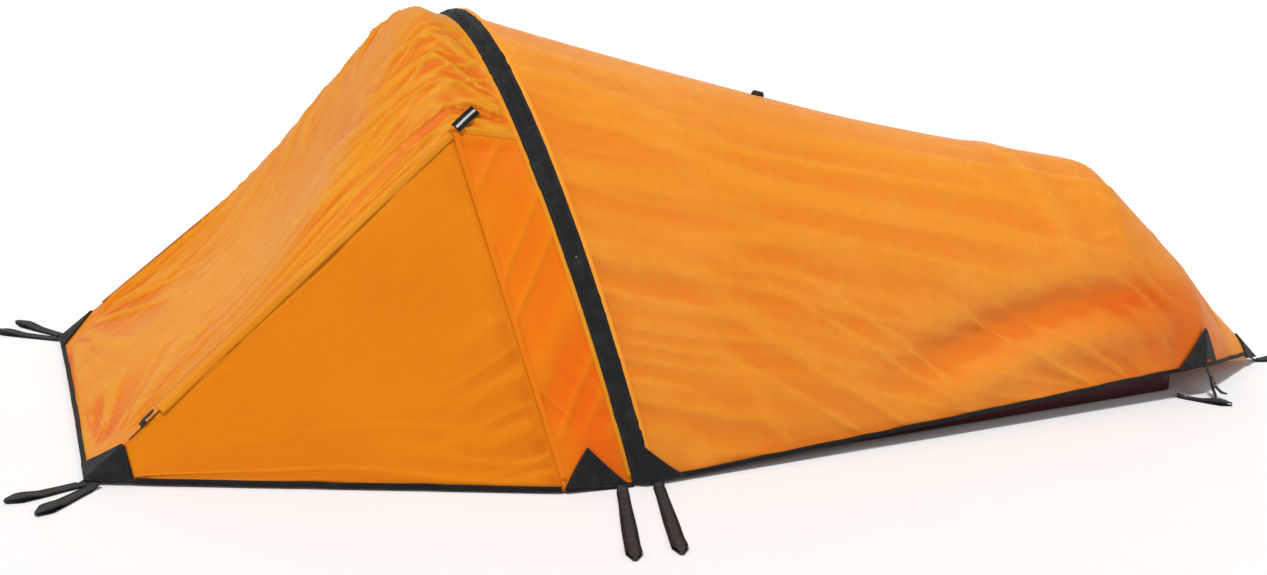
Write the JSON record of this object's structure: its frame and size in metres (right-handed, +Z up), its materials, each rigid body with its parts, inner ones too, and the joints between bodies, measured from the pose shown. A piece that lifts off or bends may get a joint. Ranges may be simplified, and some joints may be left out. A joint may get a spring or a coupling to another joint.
{
  "type": "hooped bivy tent",
  "caption": "Low one-person hooped bivy tent: orange fly with a ramped entrance and side door, black pole sleeve, mesh inner on a tub floor, webbing peg loops.",
  "frame": {"origin": "on the ground, at the middle of the tent's plan with its peg loops", "axes": "+X from the entrance ramp towards the foot, +Z up, the opening side door faces -Y"},
  "size_m": [3.3356, 1.9248, 0.8712],
  "materials": {
    "fly_fabric": "plain-weave coated polyester with a slight sheen",
    "trim_fabric": "matt black woven reinforcement and binding",
    "webbing": "flat woven black webbing",
    "floor_fabric": "dark coated floor cloth",
    "mesh": "fine knitted insect mesh",
    "pole": "satin anodised tube",
    "plastic": "moulded nylon",
    "zip_metal": "dark lacquered zinc"
  },
  "bodies": {
    "tent": {"body_hem_far": "trim_fabric", "body_hem_near": "trim_fabric", "corner_patch_front_far": "trim_fabric", "corner_patch_front_near": "trim_fabric", "corner_patch_rear_far": "trim_fabric", "corner_patch_rear_near": "trim_fabric", "door_zip_coil": "plastic", "end_hem_far": "trim_fabric", "end_hem_near": "trim_fabric", "far_wall_hem": "trim_fabric", "fly_body_panel": "fly_fabric", "fly_far_wall_panel": "fly_fabric", "fly_foot_panel_far": "fly_fabric", "fly_foot_panel_near": "fly_fabric", "fly_hoop_strip_far": "fly_fabric", "fly_hoop_strip_near": "fly_fabric", "fly_ramp_panel": "fly_fabric", "front_edge_hem": "trim_fabric", "front_pole_far_lower": "pole", "front_pole_far_upper": "pole", "front_pole_near_lower": "pole", "front_pole_near_upper": "pole", "front_pole_sleeve": "trim_fabric", "guy_tab_far": "webbing", "guy_tab_near": "webbing", "guy_tab_ridge": "webbing", "hoop_patch_front_far": "trim_fabric", "hoop_patch_front_near": "trim_fabric", "hoop_patch_rear_far": "trim_fabric", "hoop_patch_rear_near": "trim_fabric", "inner_canopy": "mesh", "inner_floor_tub": "floor_fabric", "inner_foot_far": "mesh", "inner_foot_near": "mesh", "inner_front_wall": "mesh", "rear_pole_far": "pole", "rear_pole_middle": "pole", "rear_pole_near": "pole", "rear_pole_sleeve": "fly_fabric"},
    "door": {"fly_door_panel": "fly_fabric", "door_hem": "trim_fabric"},
    "inner_door": {"inner_door": "mesh"},
    "zip_slider": {"zip_slider": "zip_metal", "zip_pull": "webbing"},
    "front_fly_strap_near": {"front_fly_strap_near": "webbing"},
    "front_fly_strap_far": {"front_fly_strap_far": "webbing"},
    "front_floor_strap_near": {"front_floor_strap_near": "webbing"},
    "front_floor_strap_far": {"front_floor_strap_far": "webbing"},
    "hoop_fly_strap_near": {"hoop_fly_strap_near": "webbing"},
    "hoop_fly_strap_far": {"hoop_fly_strap_far": "webbing"},
    "hoop_floor_strap_near": {"hoop_floor_strap_near": "webbing"},
    "hoop_floor_strap_far": {"hoop_floor_strap_far": "webbing"},
    "rear_floor_strap_near": {"rear_floor_strap_near": "webbing"},
    "rear_floor_strap_far": {"rear_floor_strap_far": "webbing"},
    "tip_strap": {"tip_strap": "webbing"},
    "rear_fly_strap_near": {"rear_fly_strap_near": "webbing", "rear_ladder_lock_near": "plastic"},
    "rear_fly_strap_far": {"rear_fly_strap_far": "webbing", "rear_ladder_lock_far": "plastic"}
  },
  "joints": [
    {"name": "door_opening", "type": "hinge", "parent": "tent", "child": "door", "pos_m": [-0.6132, -0.63, 0.006], "axis": [-0.2634, 0.3771, 0.8879], "range_deg": [0, 110]},
    {"name": "inner_door_opening", "type": "hinge", "parent": "tent", "child": "inner_door", "pos_m": [-0.435, 0.33, 0.15], "axis": [0.3096, 0, -0.9509], "range_deg": [0, 40]},
    {"name": "zip_travel", "type": "slide", "parent": "tent", "child": "zip_slider", "axis": [0.7218, 0.1023, 0.6845], "range_m": [0, 0.72]},
    {"name": "lift_front_fly_strap_near", "type": "hinge", "parent": "tent", "child": "front_fly_strap_near", "pos_m": [-1.5262, -0.456, 0.002], "axis": [-0.4472, 0.8944, 0], "range_deg": [0, 85]},
    {"name": "lift_front_fly_strap_far", "type": "hinge", "parent": "tent", "child": "front_fly_strap_far", "pos_m": [-1.5262, 0.456, 0.002], "axis": [0.4472, 0.8944, 0], "range_deg": [0, 85]},
    {"name": "lift_front_floor_strap_near", "type": "hinge", "parent": "tent", "child": "front_floor_strap_near", "pos_m": [-1.5142, -0.483, 0.002], "axis": [-0.7504, 0.6609, 0], "range_deg": [0, 85]},
    {"name": "lift_front_floor_strap_far", "type": "hinge", "parent": "tent", "child": "front_floor_strap_far", "pos_m": [-1.5142, 0.483, 0.002], "axis": [0.7504, 0.6609, 0], "range_deg": [0, 85]},
    {"name": "lift_hoop_fly_strap_near", "type": "hinge", "parent": "tent", "child": "hoop_fly_strap_near", "pos_m": [-0.4962, -0.646, 0.002], "axis": [-0.9627, 0.2707, 0], "range_deg": [0, 85]},
    {"name": "lift_hoop_fly_strap_far", "type": "hinge", "parent": "tent", "child": "hoop_fly_strap_far", "pos_m": [-0.4962, 0.646, 0.002], "axis": [0.9627, 0.2707, 0], "range_deg": [0, 85]},
    {"name": "lift_hoop_floor_strap_near", "type": "hinge", "parent": "tent", "child": "hoop_floor_strap_near", "pos_m": [-0.4122, -0.632, 0.002], "axis": [-0.973, 0.2309, 0], "range_deg": [0, 85]},
    {"name": "lift_hoop_floor_strap_far", "type": "hinge", "parent": "tent", "child": "hoop_floor_strap_far", "pos_m": [-0.4122, 0.632, 0.002], "axis": [0.973, 0.2309, 0], "range_deg": [0, 85]},
    {"name": "lift_rear_floor_strap_near", "type": "hinge", "parent": "tent", "child": "rear_floor_strap_near", "pos_m": [1.1558, -0.262, 0.002], "axis": [-0.6088, -0.7933, 0], "range_deg": [0, 55]},
    {"name": "lift_rear_floor_strap_far", "type": "hinge", "parent": "tent", "child": "rear_floor_strap_far", "pos_m": [1.1558, 0.262, 0.002], "axis": [0.6088, -0.7933, 0], "range_deg": [0, 55]},
    {"name": "lift_tip_strap", "type": "hinge", "parent": "tent", "child": "tip_strap", "pos_m": [1.5878, 0, 0.002], "axis": [0, -1, 0], "range_deg": [0, 85]},
    {"name": "swing_rear_fly_strap_near", "type": "hinge", "parent": "tent", "child": "rear_fly_strap_near", "pos_m": [1.2138, -0.256, 0.066], "axis": [-0.7071, -0.7071, 0], "range_deg": [0, 50]},
    {"name": "swing_rear_fly_strap_far", "type": "hinge", "parent": "tent", "child": "rear_fly_strap_far", "pos_m": [1.2138, 0.256, 0.066], "axis": [0.7071, -0.7071, 0], "range_deg": [0, 50]}
  ]
}
